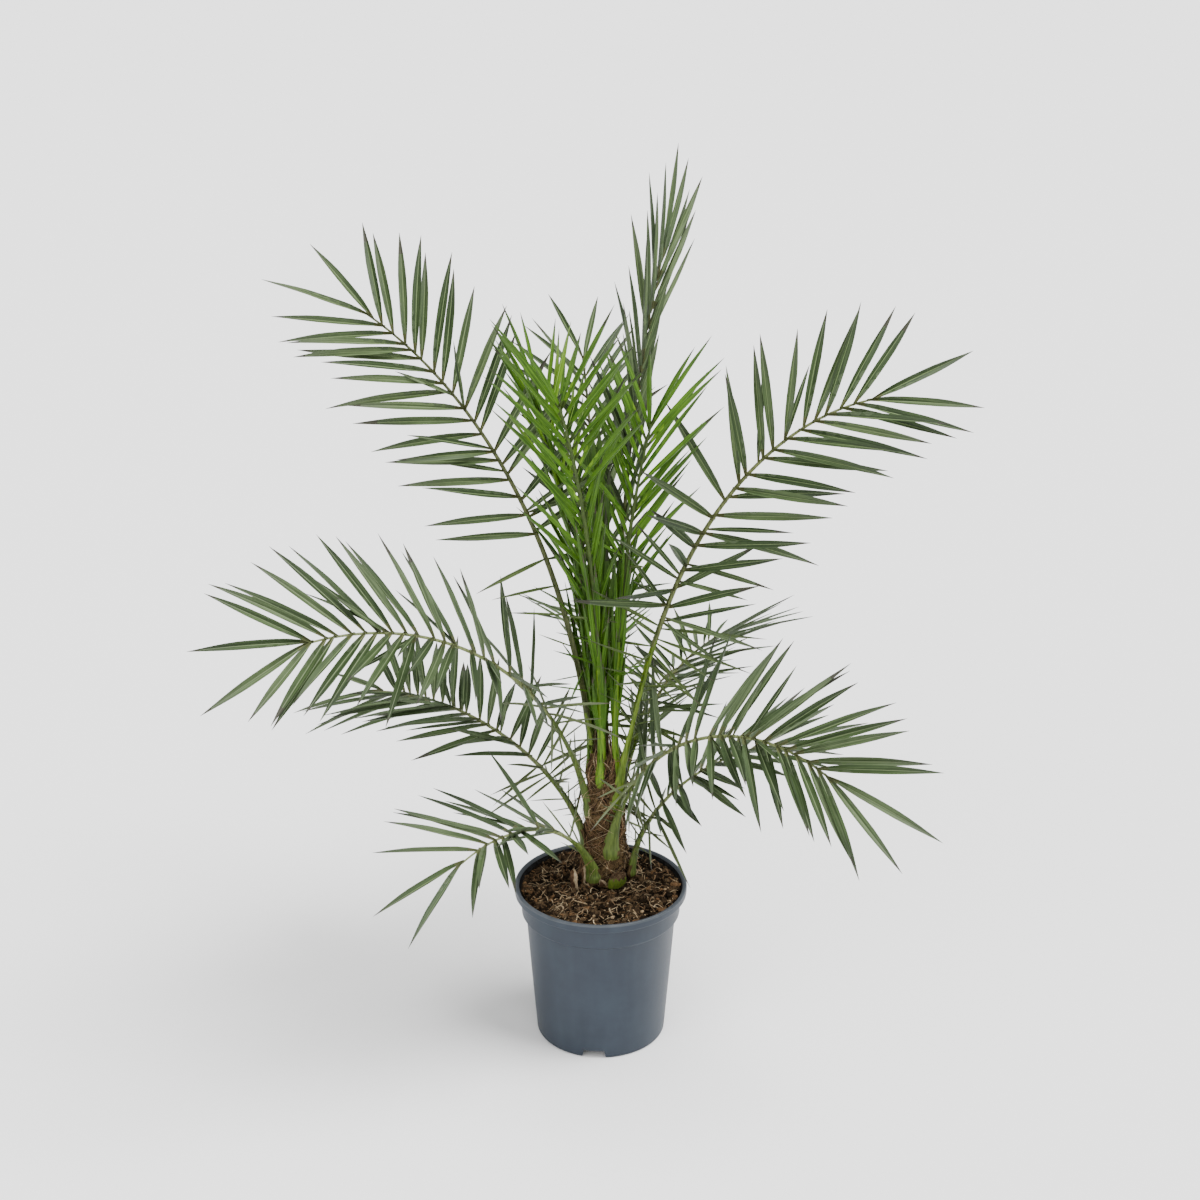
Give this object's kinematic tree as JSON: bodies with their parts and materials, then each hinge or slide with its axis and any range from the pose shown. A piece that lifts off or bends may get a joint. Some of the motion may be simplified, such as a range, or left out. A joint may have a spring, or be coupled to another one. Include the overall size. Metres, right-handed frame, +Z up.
{
  "type": "potted canary island date palm",
  "caption": "Young Canary Island date palm with arching feather fronds on a short fibrous trunk, in a round tapered nursery pot filled with compost.",
  "frame": {"origin": "centre of the pot's flat underside", "axes": "+Z up along the pot's axis and the plant's height, -Y towards the front"},
  "size_m": [1.0183, 0.7974, 1.2138],
  "materials": {
    "pot_plastic": "matte",
    "compost": "matte",
    "trunk_fibre": "matte",
    "cut_green": "satin",
    "old_green": "satin",
    "young_green": "satin"
  },
  "bodies": {
    "root": {"pot": "pot_plastic", "soil": "compost", "trunk": "trunk_fibre", "cut_leaf_base": "cut_green", "frond_left_high": "old_green", "frond_right_high": "old_green", "frond_left_mid": "old_green", "frond_right_mid": "old_green", "frond_top": "old_green", "frond_left_low": "old_green", "frond_right_low": "old_green", "frond_left_bottom": "old_green", "frond_right_back": "old_green", "frond_back_high": "old_green", "frond_back_low": "old_green", "frond_back_right_low": "old_green", "frond_centre_front": "young_green", "frond_centre_left": "young_green", "frond_centre_right": "young_green", "frond_spear": "young_green"}
  },
  "joints": []
}
